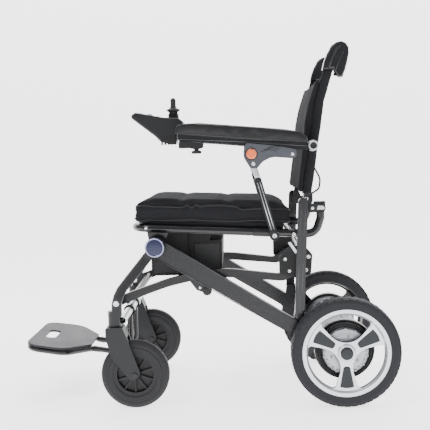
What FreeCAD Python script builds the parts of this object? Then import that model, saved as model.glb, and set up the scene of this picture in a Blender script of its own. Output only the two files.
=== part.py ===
import FreeCAD, Part
import math
import os
from FreeCAD import Placement, Rotation, Vector

# Folding power wheelchair. Millimetres, +Z up, the rider faces -Y and +X is the rider's left.
# The origin is on the floor, under the middle of the chair. Most parts are flat or turned
# about X, so they are drawn from the side (Y, Z) and stacked in layers across X.

doc = FreeCAD.newDocument("PowerWheelchair")
sheet = doc.addObject("Spreadsheet::Sheet", "Dimensions")

DIMENSIONS = {
    # wheels
    "wheel_radius": 145, "wheel_in": 231, "wheel_out": 281, "rim_radius": 116, "axle_y": 370,
    "caster_radius": 91.5, "caster_in": 212, "caster_out": 248, "caster_y": -190, "stem_y": -242.5,
    "stem_x": 230, "stem_radius": 8, "caster_axle_radius": 5, "motor_radius": 72,
    # pivots of the folding frame, side view
    "front_pivot_y": -127, "front_pivot_z": 431.8, "leg_bolt_y": -234.5, "leg_bolt_z": 284,
    "post_foot_y": 252, "post_foot_z": 240, "back_pivot_y": 276, "back_pivot_z": 548,
    "arm_pivot_y": 294, "arm_pivot_z": 689, "strut_foot_y": 189, "strut_foot_z": 456,
    "strut_top_y": 137.4, "strut_top_z": 644.3, "button_y": 133, "button_z": 671,
    "lever_pivot_y": 292, "lever_pivot_z": 523.5, "lever_pin_radius": 2.5,
    # layers across the chair, inner and outer face of each
    "link_in": 183, "link_out": 201, "beam_in": 203, "beam_out": 225, "leg_in": 226, "leg_out": 246,
    "bracket_in": 203, "bracket_out": 216, "post_in": 216, "post_out": 228, "cap_out": 258,
    "arm_in": 231, "arm_out": 253, "pad_in": 220, "pad_out": 270, "plate_out": 260,
    "strut_in": 239, "strut_out": 252.8,
    # sections and clearances
    "seat_tube_radius": 11, "rail_x": 203, "back_tube_x": 202, "tube_wall": 2, "cross_radius": 11,
    "front_pin_radius": 8, "leg_pin_radius": 7, "post_pin_radius": 6, "back_pin_radius": 5,
    "cap_radius": 25.5, "button_radius": 13, "running": 0.05, "edge": 2,
    # seat and footrest
    "cushion_half": 213, "footrest_tilt": 8.5,
}
for row, (alias, number) in enumerate(DIMENSIONS.items(), start=1):
    sheet.set("A%d" % row, alias)
    sheet.set("B%d" % row, str(number))
    sheet.setAlias("B%d" % row, alias)
doc.recompute()


def size(alias):
    """Read one driving dimension from the sheet."""
    return float(sheet.get(alias))


def cell(expression_or_number):
    """Turn a dimension's name or a plain number into text for an expression."""
    if isinstance(expression_or_number, str):
        return "Dimensions." + expression_or_number
    return str(expression_or_number)


PIVOT_A = (size("front_pivot_y"), size("front_pivot_z"))
LEG_BOLT = (size("leg_bolt_y"), size("leg_bolt_z"))
POST_FOOT = (size("post_foot_y"), size("post_foot_z"))
BACK_PIVOT = (size("back_pivot_y"), size("back_pivot_z"))
ARM_PIVOT = (size("arm_pivot_y"), size("arm_pivot_z"))
STRUT_FOOT = (size("strut_foot_y"), size("strut_foot_z"))
STRUT_TOP = (size("strut_top_y"), size("strut_top_z"))
LEVER_PIVOT = (size("lever_pivot_y"), size("lever_pivot_z"))
BUTTON = (size("button_y"), size("button_z"))
AXLE = (size("axle_y"), size("wheel_radius"))
CASTER = (size("caster_y"), size("caster_radius"))
SIDES = (("left", 1), ("right", -1))
SUBPARTS = []


# ---------------------------------------------------------------- drawing helpers

def rounded_path(corners, closed):
    """Lines joined by tangent arcs through corners (u, v) or (u, v, bend radius)."""
    count = len(corners)
    points = [Vector(c[0], c[1], 0) for c in corners]
    radii = [c[2] if len(c) > 2 else 0 for c in corners]
    entries = []
    for i, corner in enumerate(points):
        if radii[i] == 0 or (not closed and i in (0, count - 1)):
            entries.append((corner, None, corner))
            continue
        back = (points[i - 1] - corner).normalize()
        ahead = (points[(i + 1) % count] - corner).normalize()
        half = back.getAngle(ahead) / 2
        reach = radii[i] / math.tan(half)
        bisector = (back + ahead).normalize()
        middle = corner + bisector * (radii[i] / math.sin(half) - radii[i])
        entries.append((corner + back * reach, middle, corner + ahead * reach))
    edges = []
    for i, (enter, middle, leave) in enumerate(entries):
        if middle is not None:
            edges.append(Part.Arc(enter, middle, leave))
        following = entries[(i + 1) % count][0]
        last_open = not closed and i == count - 1
        if not last_open and leave.distanceToPoint(following) > 1e-6:
            edges.append(Part.LineSegment(leave, following))
    return edges


def new_body(label, place=None):
    """A PartDesign body that becomes one sub-part."""
    body = doc.addObject("PartDesign::Body", label)
    body.Label = label
    if place is not None:
        body.Placement = place
    SUBPARTS.append(body)
    return body


def origin_part(body, role):
    """The body's own origin plane or axis with this role."""
    return next(part for part in body.Origin.OriginFeatures if part.Role == role)


def new_sketch(body, role, edges, offset=Placement(), start=None):
    """A sketch on an origin plane; start binds its distance from that plane."""
    sketch = body.newObject("Sketcher::SketchObject", body.Label + "_sketch")
    sketch.AttachmentSupport = [(origin_part(body, role), "")]
    sketch.MapMode = "FlatFace"
    sketch.AttachmentOffset = offset
    if start is not None:
        sketch.setExpression("AttachmentOffset.Base.z", start)
    sketch.addGeometry(edges, False)
    return sketch


def circle(centre, radius):
    """One circle for a sketch."""
    return [Part.Circle(Vector(centre[0], centre[1], 0), Vector(0, 0, 1), radius)]


def pad(body, sketch, length):
    """Pad a sketch by a bound length."""
    feature = body.newObject("PartDesign::Pad", body.Label + "_pad")
    feature.Profile = sketch
    feature.setExpression("Length", length)
    body.Tip = feature
    return feature


def layer_start(side, inner, outer):
    """Where a layer between two faces starts along X, on the left (+1) or the right (-1)."""
    return cell(inner) if side > 0 else "-" + cell(outer)


def side_pad(body, side, edges, inner, outer):
    """Pad a side-view outline between two layer faces."""
    sketch = new_sketch(body, "YZ_Plane", edges, start=layer_start(side, inner, outer))
    return pad(body, sketch, cell(outer) + " - " + cell(inner))


def cross_pad(body, centre, radius, half_length):
    """A round bar right across the chair."""
    sketch = new_sketch(body, "YZ_Plane", circle(centre, radius), start="-" + cell(half_length))
    return pad(body, sketch, "2 * " + cell(half_length))


def cut_through(body, role, edges, start, depth):
    """Pocket an outline away; turns the pocket round if it would point out of the solid."""
    doc.recompute()
    before = body.Shape.Volume
    sketch = new_sketch(body, role, edges, start=start)
    pocket = body.newObject("PartDesign::Pocket", body.Label + "_cut")
    pocket.Profile = sketch
    pocket.setExpression("Length", depth)
    body.Tip = pocket
    doc.recompute()
    if not pocket.Shape.isValid() or body.Shape.Volume > before - 1:
        pocket.Reversed = True
        doc.recompute()
    assert body.Shape.Volume < before - 1, body.Label + " was not cut"
    return pocket


def side_hole(body, side, centre, radius, inner, outer):
    """A round hole across one layer."""
    start = layer_start(side, inner, outer)
    depth = cell(outer) + " - " + cell(inner)
    return cut_through(body, "YZ_Plane", circle(centre, radius), start, depth)


def turn(body, profile):
    """Turn a closed profile (x, radius) about the body's own X axis."""
    sketch = new_sketch(body, "XY_Plane", rounded_path(profile, True))
    feature = body.newObject("PartDesign::Revolution", body.Label + "_turn")
    feature.Profile = sketch
    feature.ReferenceAxis = (sketch, ["H_Axis"])
    feature.Angle = 360
    body.Tip = feature
    return feature


def mirrored(side, profile):
    """Mirror a turned profile for the right side of the chair."""
    return [(side * p[0],) + tuple(p[1:]) for p in profile]


def at(pivot):
    """Placement of a turned part on a pivot given in the side view."""
    return Placement(Vector(0, pivot[0], pivot[1]), Rotation())


def side_plane(x):
    """Drawing plane of the side view at a distance across the chair."""
    return Placement(Vector(x, 0, 0), Rotation(Vector(0, 1, 0), Vector(0, 0, 1), Vector(1, 0, 0)))


def pipe(body, plane, corners, radius, wall=0):
    """Sweep a round section along a filleted path drawn on a plane."""
    path = new_sketch(body, "XY_Plane", rounded_path(corners, False), offset=plane)
    ahead = Vector(corners[1][0] - corners[0][0], corners[1][1] - corners[0][1], 0)
    start = plane.multVec(Vector(corners[0][0], corners[0][1], 0))
    square = Placement(start, Rotation(Vector(0, 0, 1), plane.Rotation.multVec(ahead)))
    section = circle((0, 0), radius)
    if wall:
        section += circle((0, 0), radius - wall)
    profile = new_sketch(body, "XY_Plane", section, offset=square)
    feature = body.newObject("PartDesign::AdditivePipe", body.Label + "_pipe")
    feature.Profile = profile
    feature.Spine = (path, [])
    feature.Mode = "Standard"
    body.Tip = feature
    return feature


def fillet(body, radius, wanted):
    """Fillet the edges of a body whose two end points pass a test."""
    doc.recompute()
    base = body.Tip
    names = []
    for number, edge in enumerate(base.Shape.Edges, start=1):
        ends = [vertex.Point for vertex in edge.Vertexes]
        if len(ends) == 2 and wanted(ends[0], ends[1]):
            names.append("Edge%d" % number)
    feature = body.newObject("PartDesign::Fillet", body.Label + "_fillet")
    feature.Base = (base, names)
    feature.setExpression("Radius", radius)
    body.Tip = feature
    return feature


def bar(name, pivot, radius, inner, outer, side=1):
    """A plain round bar along X between two faces."""
    solid = doc.addObject("Part::Cylinder", name)
    solid.setExpression("Radius", cell(radius))
    solid.setExpression("Height", cell(outer) + " - " + cell(inner))
    start = size(inner) if isinstance(inner, str) else inner
    along = Rotation(Vector(0, 0, 1), Vector(side, 0, 0))
    solid.Placement = Placement(Vector(side * start, pivot[0], pivot[1]), along)
    return solid


def group(label, solids):
    """Several separate solids that share one node."""
    compound = doc.addObject("Part::Compound", label)
    compound.Label = label
    compound.Links = solids
    SUBPARTS.append(compound)
    return compound


# ---------------------------------------------------------------- main frame

BEAM_ANGLE = math.radians(-32.1)


def on_beam(along, above):
    """A side-view point measured along and above the main beam's centre line."""
    u = Vector(math.cos(BEAM_ANGLE), math.sin(BEAM_ANGLE), 0)
    n = Vector(-u.y, u.x, 0)
    point = Vector(PIVOT_A[0], PIVOT_A[1], 0) + u * along + n * above
    return (point.x, point.y)


def main_beam(name, side):
    """Deep side beam from the front pivot down to a clamp ring round the hub motor."""
    body = new_body("beam_" + name)
    corners = [(0, 22, 0), (505, 22, 0), (505, -44, 0), (470, -46, 8), (444, -32, 20),
               (426, -16.5, 25), (0, -24, 0)]
    outline = [on_beam(a, b) + (r,) for a, b, r in corners]
    side_pad(body, side, rounded_path(outline, True), "beam_in", "beam_out")
    side_pad(body, side, circle(PIVOT_A, 23.5), "beam_in", "beam_out")
    side_pad(body, side, circle(AXLE, 80), "beam_in", "beam_out")
    lug = [on_beam(425, 10), on_beam(465, 10), (266, 236, 0), (263, 254.5, 10), (241, 254.5, 10),
           (238, 236, 0)]
    side_pad(body, side, rounded_path(lug, True), "beam_in", 214.5)
    bumper_lug = [on_beam(62, -10), on_beam(176, -10), (14, 304, 0), (0, 304, 8), (-20, 311, 8)]
    side_pad(body, side, rounded_path(bumper_lug, True), 208, 220)
    side_pad(body, side, circle((7.5, 309), 12.5), 206, 222)
    side_hole(body, side, AXLE, size("motor_radius"), "beam_in", "beam_out")
    side_hole(body, side, PIVOT_A, size("front_pin_radius") + size("running"), "beam_in", "beam_out")
    side_hole(body, side, POST_FOOT, size("post_pin_radius"), "beam_in", 214.5)


def hub_motor(name, side):
    """Cast hub motor held in the beam's ring, with the wheel shaft on its outer face."""
    body = new_body("motor_" + name, at(AXLE))
    profile = [(134, 0), (276, 0), (276, 8), (254, 8), (254, 30), (250, 34), (249, 58), (244, 64),
               (243, 72), (160, 72), (158, 68), (146, 62), (143, 40), (134, 36)]
    turn(body, mirrored(side, profile))


def rear_cross_tube():
    """Round tube that joins the two beams in front of the motors."""
    body = new_body("rear_cross_tube", at((280, 180)))
    half = size("beam_in")
    turn(body, [(-half, 12), (half, 12), (half, 14), (-half, 14)])


def post_pins():
    """The two pins that the rear posts turn on."""
    pins = [bar("post_pin_" + name, POST_FOOT, "post_pin_radius", "beam_in", "post_out", side)
            for name, side in SIDES]
    group("post_pins", pins)


# ---------------------------------------------------------------- wheels

def drive_tyre(name, side):
    """Wide pneumatic tyre."""
    body = new_body("tyre_" + name, at(AXLE))
    inner = size("wheel_in")
    outer = size("wheel_out")
    rim = size("rim_radius")
    radius = size("wheel_radius")
    profile = [(inner, rim), (outer, rim), (outer, radius - 3, 13), (outer - 16, radius, 40),
               (inner + 16, radius, 40), (inner, radius - 3, 13)]
    turn(body, mirrored(side, profile))


def rim_window():
    """Opening between two spokes: radial sides, round bottom and an outer arc."""
    outer = 101
    half = math.radians(42)
    bottom = 27
    centre = bottom / (1 - math.sin(half))
    radius = centre * math.sin(half)
    tangent = centre * math.cos(half)
    side = Vector(math.sin(half), math.cos(half), 0)
    other = Vector(-side.x, side.y, 0)
    corner = 8
    turned = math.asin(corner / (outer - corner))
    enter = (outer - corner) * math.cos(turned)
    swing = half - turned
    left_end = Vector(-math.sin(swing) * outer, math.cos(swing) * outer, 0)
    right_end = Vector(-left_end.x, left_end.y, 0)
    top = Part.Arc(left_end, Vector(0, outer, 0), right_end)
    hub_left = Vector(-math.sin(swing), math.cos(swing), 0) * (outer - corner)
    hub_right = Vector(-hub_left.x, hub_left.y, 0)
    middle_right = hub_right + (side * enter - hub_right + right_end - hub_right).normalize() * corner
    middle_left = Vector(-middle_right.x, middle_right.y, 0)
    return [
        top,
        Part.Arc(right_end, middle_right, side * enter),
        Part.LineSegment(side * enter, side * tangent),
        Part.Arc(side * tangent, Vector(0, centre - radius, 0), other * tangent),
        Part.LineSegment(other * tangent, other * enter),
        Part.Arc(other * enter, middle_left, left_end),
    ]


def rim(name, side):
    """Cast rim: a deep barrel, a face ring and three broad spokes."""
    body = new_body("rim_" + name, at(AXLE))
    bore = size("stem_radius") + size("running")
    profile = [(256, bore), (277, bore), (277, 21), (271.5, 24), (270, 60), (271.5, 101), (279, 106),
               (279, 116), (233, 116), (233, 111), (257, 106), (260, 101), (259, 24), (256, 21)]
    turn(body, mirrored(side, profile))
    start = cell(284) if side > 0 else cell(-284)
    window = cut_through(body, "YZ_Plane", rim_window(), start, "30")
    pattern = body.newObject("PartDesign::PolarPattern", body.Label + "_spokes")
    pattern.Originals = [window]
    pattern.Axis = (origin_part(body, "X_Axis"), [""])
    pattern.Angle = 360
    pattern.Occurrences = 3
    body.Tip = pattern


# ---------------------------------------------------------------- front legs and casters

def front_leg(name, side):
    """Bent front leg that ends in the steering head."""
    body = new_body("leg_" + name)
    outline = [(-136.6, 439.8), (-233.5, 322.5, 70), (-247, 284, 60), (-247.5, 246, 4),
               (-222, 246, 4), (-221.5, 284, 30), (-211, 313, 40), (-117.4, 423.8)]
    side_pad(body, side, rounded_path(outline, True), "leg_in", "leg_out")
    side_pad(body, side, circle(PIVOT_A, 24), "leg_in", "leg_out")
    centre = (side * size("stem_x"), size("stem_y"))
    head = new_sketch(body, "XY_Plane", circle(centre, 17), start="221")
    pad(body, head, "41")
    bore = circle(centre, size("stem_radius") + size("running"))
    cut_through(body, "XY_Plane", bore, "221", "42")
    side_hole(body, side, PIVOT_A, size("front_pin_radius"), "leg_in", "leg_out")
    side_hole(body, side, LEG_BOLT, size("leg_pin_radius"), "leg_in", "leg_out")


def front_cross_tube():
    """Bright tube between the steering heads, notched to fit them; the footrest turns on it."""
    centre = (-222, 235)
    outer = bar("cross_tube_outside", centre, "cross_radius", -226, 226)
    inner = bar("cross_tube_inside", centre, "cross_radius", -226, 226)
    inner.setExpression("Radius", "Dimensions.cross_radius - Dimensions.tube_wall")
    notches = [inner]
    for name, side in SIDES:
        head = doc.addObject("Part::Cylinder", "cross_tube_notch_" + name)
        head.Radius = 17
        head.Height = 41
        head.Placement = Placement(Vector(side * size("stem_x"), size("stem_y"), 221), Rotation())
        notches.append(head)
    cutter = doc.addObject("Part::MultiFuse", "cross_tube_cutter")
    cutter.Shapes = notches
    tube = doc.addObject("Part::Cut", "front_cross_tube")
    tube.Base = outer
    tube.Tool = cutter
    SUBPARTS.append(tube)


def pivot_caps():
    """Round caps over the two front pivots."""
    solids = []
    for name, side in SIDES:
        disc = bar("cap_disc_" + name, PIVOT_A, "cap_radius", "leg_out", "cap_out", side)
        solids.append(disc)
    group("pivot_caps", solids)


def frame_pins():
    """Pins of the front pivots and of the link arms' front ends."""
    pins = []
    for name, side in SIDES:
        pins.append(bar("front_pin_" + name, PIVOT_A, "front_pin_radius", 181, "leg_out", side))
        pins.append(bar("leg_pin_" + name, LEG_BOLT, "leg_pin_radius", "link_in", 250, side))
    group("frame_pins", pins)


def fork(name, side):
    """Caster fork: two blades, a crown and the stem."""
    body = new_body("fork_" + name)
    blade = [(-265, 220.5, 5), (-219, 220.5, 5), (-207, 190, 60), (-173, 92, 14), (-199, 74, 14),
             (-250, 140, 80), (-264, 190, 30)]
    crown = [(-265, 220.5, 5), (-219, 220.5, 5), (-208, 190, 3), (-264, 190, 3)]
    side_pad(body, side, rounded_path(blade, True), 251, 258)
    side_pad(body, side, rounded_path(crown, True), 202, 258)
    side_pad(body, side, rounded_path(blade, True), 202, 209)
    centre = (side * size("stem_x"), size("stem_y"))
    stem = new_sketch(body, "XY_Plane", circle(centre, size("stem_radius")), start="219")
    pad(body, stem, "43")
    side_hole(body, side, CASTER, size("caster_axle_radius"), 202, 258)


def caster_axle(name, side):
    """Axle bolt with a head and a nut."""
    body = new_body("caster_axle_" + name, at(CASTER))
    profile = [(198, 0), (262, 0), (262, 7.5), (258, 7.5), (258, 5), (202, 5), (202, 7.5), (198, 7.5)]
    turn(body, mirrored(side, profile))


def caster_tyre(name, side):
    """Solid caster tyre with stepped sides."""
    body = new_body("caster_tyre_" + name, at(CASTER))
    profile = [(214, 58), (246, 58), (248, 62), (248, 71), (246, 73), (246, 81, 4), (241, 91.5, 8),
               (219, 91.5, 8), (214, 81, 4), (214, 73), (212, 71), (212, 62)]
    turn(body, mirrored(side, profile))


def caster_hub(name, side):
    """Moulded hub: rim, web, boss and ten ribs."""
    body = new_body("caster_hub_" + name, at(CASTER))
    bore = size("caster_axle_radius") + size("running")
    profile = [(210, bore), (250, bore), (250, 12), (240, 17), (235, 17), (234, 47), (245.5, 49),
               (245.5, 58), (214.5, 58), (214.5, 49), (226, 47), (225, 17), (220, 17), (210, 12)]
    turn(body, mirrored(side, profile))
    rib = [(-2.2, 14), (2.2, 14), (2.2, 50), (-2.2, 50)]
    first = side_pad(body, side, rounded_path(rib, True), 218, 242)
    pattern = body.newObject("PartDesign::PolarPattern", body.Label + "_ribs")
    pattern.Originals = [first]
    pattern.Axis = (origin_part(body, "X_Axis"), [""])
    pattern.Angle = 360
    pattern.Occurrences = 10
    body.Tip = pattern


# ---------------------------------------------------------------- footrest

def footrest_plane(offset):
    """Tilted plane of the footplate, rising to the front; v runs forwards."""
    tilt = math.radians(size("footrest_tilt"))
    ahead = Vector(0, -math.cos(tilt), math.sin(tilt))
    normal = Vector(0, math.sin(tilt), math.cos(tilt))
    turned = Rotation(Vector(-1, 0, 0), ahead, normal)
    return Placement(Vector(0, -335, 132) + normal * offset, turned)


def footplate():
    """One-piece footplate with a hand hole near its front edge."""
    body = new_body("footplate")
    half_outline = [(68, 0, 12), (163, 66, 55), (158, 172, 40)]
    outline = half_outline + [(-x, v, r) for x, v, r in reversed(half_outline)]
    slot = [(50, 110, 14), (50, 142, 14), (-50, 142, 14), (-50, 110, 14)]
    edges = rounded_path(outline, True) + rounded_path(slot, True)
    pad(body, new_sketch(body, "XY_Plane", edges, offset=footrest_plane(0)), "6")


def footrest_hoop():
    """Tube hoop under the footplate, its two arms and their sleeves on the cross tube."""
    body = new_body("footrest_hoop")
    wide = [(62, -25), (62, -2, 18), (154, 60, 45), (150, 164, 34)]
    path = wide + [(-c[0],) + tuple(c[1:]) for c in reversed(wide)]
    pipe(body, footrest_plane(-7.99), path, 8)
    for side in (1, -1):
        arm = [(-330, 124.5), (-256, 112, 60), (-222, 118, 22), (-222, 226)]
        pipe(body, side_plane(62 * side), arm, 8)
        side_pad(body, side, circle((-222, 235), 16), 48, 76)
    bore = circle((-222, 235), size("cross_radius") + size("running"))
    cut_through(body, "YZ_Plane", bore, "-80", "160")


# ---------------------------------------------------------------- link arms and rear posts

def link_frame():
    """Two arched link arms joined by a tube near their front ends."""
    body = new_body("link_frame")
    outline = [(-246, 291, 12), (-165, 319.5, 200), (-100, 340, 250), (-20, 360, 250), (60, 366, 300),
               (205, 347, 30), (232, 372, 10), (252, 378, 12), (264, 362, 12), (252, 346, 12),
               (212, 328, 40), (60, 342.5, 300), (-25, 336, 250), (-95, 320.5, 250),
               (-160, 298.5, 200), (-230, 270, 12)]
    hole = size("leg_pin_radius") + size("running")
    for side in (1, -1):
        side_pad(body, side, rounded_path(outline, True), "link_in", "link_out")
        side_hole(body, side, LEG_BOLT, hole, "link_in", "link_out")
    cross_pad(body, (-188, 299), 9, "link_in")


def rear_post_frame():
    """Two flat oval posts and the tube that joins them."""
    body = new_body("rear_post_frame")
    outline = [(255, 552, 12), (281, 552, 12), (270, 347, 120), (265, 227, 12.5),
               (239, 227, 12.5), (244, 347, 120)]
    hole = size("post_pin_radius") + size("running")
    for side in (1, -1):
        side_pad(body, side, rounded_path(outline, True), "post_in", "post_out")
        side_hole(body, side, POST_FOOT, hole, "post_in", "post_out")
    cross_pad(body, (261, 412), 9, "post_in")


def rear_brackets():
    """Bolted plates on the posts, beside the rear ends of the link arms."""
    outline = [(201, 352, 6), (201, 396, 6), (231, 423, 6), (270, 423, 8), (290, 400, 10),
               (285, 346, 10), (240, 338, 8)]
    solids = []
    for name, side in SIDES:
        plate = Part.Face(Part.Wire([edge.toShape() for edge in rounded_path(outline, True)]))
        thickness = size("bracket_out") - size("bracket_in")
        solid = plate.extrude(Vector(0, 0, thickness))
        tube = Part.makeCylinder(9.02, thickness, Vector(261, 412, 0))
        piece = doc.addObject("Part::Feature", "rear_bracket_" + name)
        piece.Shape = solid.cut(tube)
        start = size("bracket_in") if side > 0 else -size("bracket_out")
        piece.Placement = side_plane(start)
        solids.append(piece)
    group("rear_brackets", solids)


# ---------------------------------------------------------------- seat

SEAT_SLOPE = math.radians(3.2)


def rail_height(y):
    """Centre height of the seat rails at a distance along the chair."""
    return 481 - math.tan(SEAT_SLOPE) * (y + 183)


def seat_frame():
    """U-shaped seat tube with curled rear ends, pivot lugs and arm-strut stubs."""
    body = new_body("seat_frame")
    rail = size("rail_x")
    ahead = Vector(0, math.cos(SEAT_SLOPE), -math.sin(SEAT_SLOPE))
    normal = Vector(0, math.sin(SEAT_SLOPE), math.cos(SEAT_SLOPE))
    plane = Placement(Vector(0, -183, 481), Rotation(Vector(1, 0, 0), ahead, normal))
    loop = [(rail, 452), (rail, 0, 45), (-rail, 0, 45), (-rail, 452)]
    pipe(body, plane, loop, size("seat_tube_radius"))
    end = plane.multVec(Vector(0, 452, 0))
    for side in (1, -1):
        curl = [(end.y, end.z), (300, rail_height(300), 30), (314, 497, 12), (314, 511.5)]
        pipe(body, side_plane(rail * side), curl, size("seat_tube_radius"))
        lug = [(-152, 476), (-145, 432), (-109, 432), (-90, 472)]
        side_pad(body, side, rounded_path(lug, True), 181, "link_out")
        side_pad(body, side, circle(PIVOT_A, 18), 181, "link_out")
        side_pad(body, side, circle(STRUT_FOOT, size("post_pin_radius")), "rail_x", "strut_out")
        hole = size("front_pin_radius") + size("running")
        side_hole(body, side, PIVOT_A, hole, 181, "link_out")
    cross_pad(body, (232, rail_height(232)), 9, "rail_x")


def board_top(y):
    """Height of the seat board's upper face, where the cushion lies."""
    return 495 - 0.02955 * (y + 186)


def slab(label, outline, half_width):
    """A closed block drawn from the side and centred across the chair."""
    body = new_body(label)
    sketch = new_sketch(body, "YZ_Plane", rounded_path(outline, True), start="-" + cell(half_width))
    pad(body, sketch, "2 * " + cell(half_width))
    return body


def seat_blocks():
    """Seat board, the two layers of the cushion, battery and power box."""
    board_side = [(-170, 478), (-170, board_top(-170)), (215, board_top(215)), (215, 460.5)]
    board = slab("seat_board", board_side, 192)
    fillet(board, "34", lambda a, b: a.y < -169 and b.y < -169 and abs(a.x - b.x) < 0.01)
    base_side = [(-186, board_top(-186), 14), (-186, 513), (237, 513), (237, board_top(237), 8)]
    slab("cushion_base", base_side, "cushion_half")
    top_side = [(-184, 513), (-184, 546, 14), (-140, 555, 60), (200, 541, 40), (236, 524, 14),
                (236, 513)]
    slab("cushion_top", top_side, "cushion_half")
    slab("battery", [(-145, 345, 8), (-145, 476.8, 4), (-45, 472.2, 4), (-45, 345, 8)], 165)
    box_side = [(-44.5, 355, 4), (-44.5, 472.2, 4), (26, 469, 4), (14, 437), (49, 437, 4),
                (47, 355, 8)]
    slab("power_box", box_side, 150)


def lock_housings():
    """Latch housings on the seat tube, each with two cheeks for the back's hinge eye."""
    outline = [(265, 511.5, 4), (326, 511.5, 5), (326, 534.5, 5), (290, 534.5, 5), (284.5, 550, 8.5),
               (276, 556.5, 8.5), (267, 549, 8.5), (265, 530, 5)]
    thickness = 21.3
    wire = Part.Wire([edge.toShape() for edge in rounded_path(outline, True)])
    block = Part.Face(wire).extrude(Vector(0, 0, thickness))
    slot = Part.makeBox(80, 30, 11, Vector(255, 534.6, 7.5))
    pin_foot = Vector(BACK_PIVOT[0], BACK_PIVOT[1], 0)
    pin = Part.makeCylinder(size("back_pin_radius"), thickness, pin_foot)
    stub_foot = Vector(LEVER_PIVOT[0], LEVER_PIVOT[1], thickness)
    stub = Part.makeCylinder(size("lever_pin_radius"), 5.7, stub_foot)
    left = block.cut(slot).fuse([pin, stub]).removeSplitter()
    left.transformShape(side_plane(188).toMatrix(), True)
    solids = []
    for name, side in SIDES:
        piece = doc.addObject("Part::Feature", "lock_housing_" + name)
        piece.Shape = left if side > 0 else left.mirror(Vector(0, 0, 0), Vector(1, 0, 0))
        solids.append(piece)
    group("lock_housings", solids)


def lock_lever(name, side):
    """Thumb lever on the outer face of the latch housing."""
    body = new_body("lock_lever_" + name)
    outline = [(285, 514, 4), (324, 514, 4), (328, 523, 4), (324, 533, 4), (285, 533, 4)]
    side_pad(body, side, rounded_path(outline, True), 209.6, 215.6)
    hole = size("lever_pin_radius") + size("running")
    side_hole(body, side, LEVER_PIVOT, hole, 209.6, 215.6)


# ---------------------------------------------------------------- backrest

BACK_TUBE = [(278.4, 562), (315.5, 803, 120), (357, 944, 12), (384, 950, 12), (370, 884)]


def back_frame():
    """Two back tubes that end in the push handles, a cross tube and the hinge eyes."""
    body = new_body("back_frame")
    x = size("back_tube_x")
    for side in (1, -1):
        pipe(body, side_plane(x * side), BACK_TUBE, size("seat_tube_radius"))
        neck = [(269, 545, 8), (283, 545, 8), (286, 566, 0), (271, 566, 0)]
        side_pad(body, side, rounded_path(neck, True), 196, 206)
        side_pad(body, side, circle(BACK_PIVOT, 8.5), 196, 206)
        side_pad(body, side, circle(ARM_PIVOT, size("post_pin_radius")), "back_tube_x", 229)
        hole = size("back_pin_radius") + size("running")
        side_hole(body, side, BACK_PIVOT, hole, 196, 206)
    cross_pad(body, (287, 610), 8, "back_tube_x")


def push_grips():
    """Sleeves on the rear limbs of the push handles, a little past the tubes' ends."""
    bend = Vector(0, BACK_TUBE[-2][0], BACK_TUBE[-2][1])
    tip = Vector(0, BACK_TUBE[-1][0], BACK_TUBE[-1][1])
    ahead = (tip - bend).normalize()
    below_bend = 20.5
    covered = bend.distanceToPoint(tip) - below_bend
    solids = []
    for name, side in SIDES:
        top = bend + ahead * below_bend + Vector(side * size("back_tube_x"), 0, 0)
        sleeve = Part.makeCylinder(13, covered + 16, top, ahead)
        tube = Part.makeCylinder(size("seat_tube_radius"), covered, top, ahead)
        piece = doc.addObject("Part::Feature", "push_grip_" + name)
        piece.Shape = sleeve.cut(tube)
        solids.append(piece)
    group("push_grips", solids)


def back_pad():
    """Padded back panel in front of the tubes."""
    outline = [(258, 564, 4), (267, 564, 3), (304.2, 805.5, 60), (320.7, 862, 3), (312.3, 862, 3),
               (291.5, 800, 200), (280.5, 750, 200), (277, 700, 300)]
    slab("back_pad", outline, "cushion_half")


def release_cables():
    """Short latch cables that leave the back tubes and bow out behind them."""
    solids = []
    corners = [(297, 636), (315, 601, 30), (312, 574, 16), (286, 558)]
    for name, side in SIDES:
        body = doc.addObject("PartDesign::Body", "release_cable_" + name)
        pipe(body, side_plane(size("back_tube_x") * side), corners, 2.5)
        solids.append(body)
    group("release_cables", solids)


# ---------------------------------------------------------------- armrests

def pad_underside(y):
    """Height of the armrest pad's flat underside."""
    return 727 - 0.0896 * (y + 60)


def arm_hub(name, side):
    """Pivot hub between the back tube and the armrest, with its bolt head."""
    body = new_body("arm_hub_" + name, at(ARM_PIVOT))
    bore = size("post_pin_radius") + size("running")
    profile = [(213.4, bore), (229.4, bore), (229.4, 0), (262, 0), (262, 6), (260, 13), (254, 13),
               (254, 6), (230.6, 6), (230.6, 15), (213.4, 15)]
    turn(body, mirrored(side, profile))


def arm_rail(name, side):
    """Armrest rail with its pivot eye."""
    body = new_body("arm_rail_" + name)
    top_front = pad_underside(-58) - 0.3
    top_rear = pad_underside(280) - 0.3
    outline = [(-58, top_front, 4), (280, top_rear), (296, top_rear - 1, 8), (292, 677, 10),
               (260, 678.5, 30), (26, 702, 60), (-58, 709, 8)]
    side_pad(body, side, rounded_path(outline, True), "arm_in", "arm_out")
    side_pad(body, side, circle(ARM_PIVOT, 13), "arm_in", "arm_out")
    hole = size("post_pin_radius") + size("running")
    side_hole(body, side, ARM_PIVOT, hole, "arm_in", "arm_out")


def arm_pad(name, side):
    """Long armrest pad with a rounded top."""
    body = new_body("arm_pad_" + name)
    outline = [(-66, pad_underside(-66), 3), (-60, 752, 14), (-20, 753, 40), (255, 726, 30),
               (278, 712, 10), (280, pad_underside(280), 2)]
    side_pad(body, side, rounded_path(outline, True), "pad_in", "pad_out")


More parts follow.
